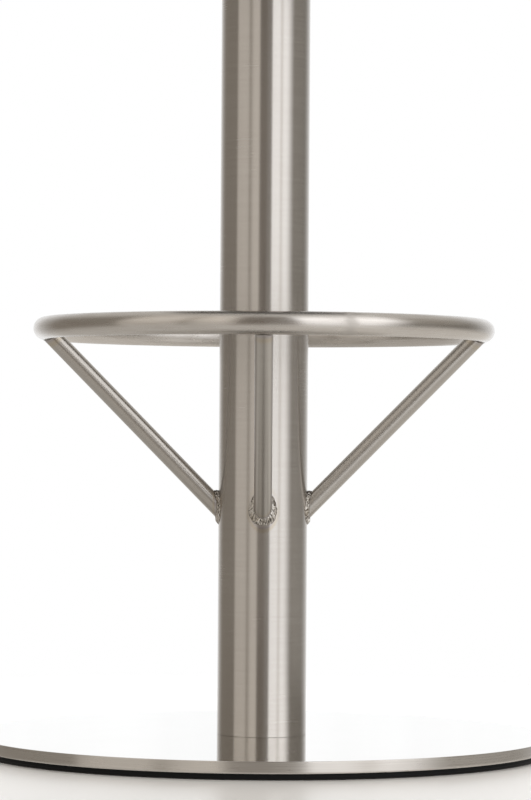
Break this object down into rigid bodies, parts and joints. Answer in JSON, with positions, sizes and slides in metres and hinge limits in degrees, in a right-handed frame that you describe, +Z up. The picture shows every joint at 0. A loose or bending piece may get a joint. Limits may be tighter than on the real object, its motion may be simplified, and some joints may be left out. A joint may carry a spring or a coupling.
{
  "type": "bar stool",
  "caption": "Brushed steel pedestal bar stool with a round base plate, a strutted foot ring and a round padded seat that swivels.",
  "frame": {"origin": "on the floor, on the column's axis", "axes": "+Z up along the column, -Y to the front, the side that one of the struts faces"},
  "size_m": [0.4899, 0.49, 0.808],
  "materials": {
    "base_steel": "polished",
    "tube_steel": "satin",
    "weld_steel": "satin",
    "plain_steel": "satin",
    "zinc_steel": "satin",
    "bearing_steel": "polished",
    "black_painted_steel": "satin",
    "bearing_brass": "satin",
    "black_rubber": "matte",
    "white_polymer": "matte",
    "black_plastic": "satin",
    "plywood": "matte",
    "foam": "matte",
    "black_leather": "satin",
    "black_cloth": "matte"
  },
  "bodies": {
    "pedestal": {"base_plate": "base_steel", "floor_ring": "black_rubber", "base_bolts": "zinc_steel", "column_tube": "tube_steel", "column_foot_plug": "plain_steel", "column_end_plate": "plain_steel", "bearing_sleeve": "plain_steel", "upper_bush": "white_polymer", "lower_bush": "white_polymer", "lower_race": "bearing_steel", "column_cap": "black_plastic", "foot_ring": "tube_steel", "strut_front": "tube_steel", "strut_right": "tube_steel", "strut_back": "tube_steel", "strut_left": "tube_steel", "strut_foot_welds": "weld_steel", "strut_head_welds": "weld_steel"},
    "bearing": {"ball_cage": "bearing_brass", "bearing_balls": "bearing_steel"},
    "seat": {"upper_race": "bearing_steel", "swivel_stem": "plain_steel", "stem_washer": "zinc_steel", "circlip": "plain_steel", "swivel_hub": "black_painted_steel", "hub_weld": "black_painted_steel", "seat_plate": "black_painted_steel", "seat_bolts": "zinc_steel", "seat_washers": "zinc_steel", "underside_cloth": "black_cloth", "seat_board": "plywood", "tee_nuts": "zinc_steel", "seat_foam": "foam", "seat_cover": "black_leather", "seat_piping": "black_leather"}
  },
  "joints": [
    {"name": "seat_swivel", "type": "hinge", "parent": "pedestal", "child": "seat", "pos_m": [0, 0, 0.7], "axis": [0, 0, 1], "continuous": true},
    {"name": "ball_cage_orbit", "type": "hinge", "parent": "pedestal", "child": "bearing", "pos_m": [0, 0, 0.7], "axis": [0, 0, 1], "continuous": true}
  ],
  "couplings": [
    {"joint": "ball_cage_orbit", "follows": "seat_swivel", "ratio": 0.5}
  ]
}
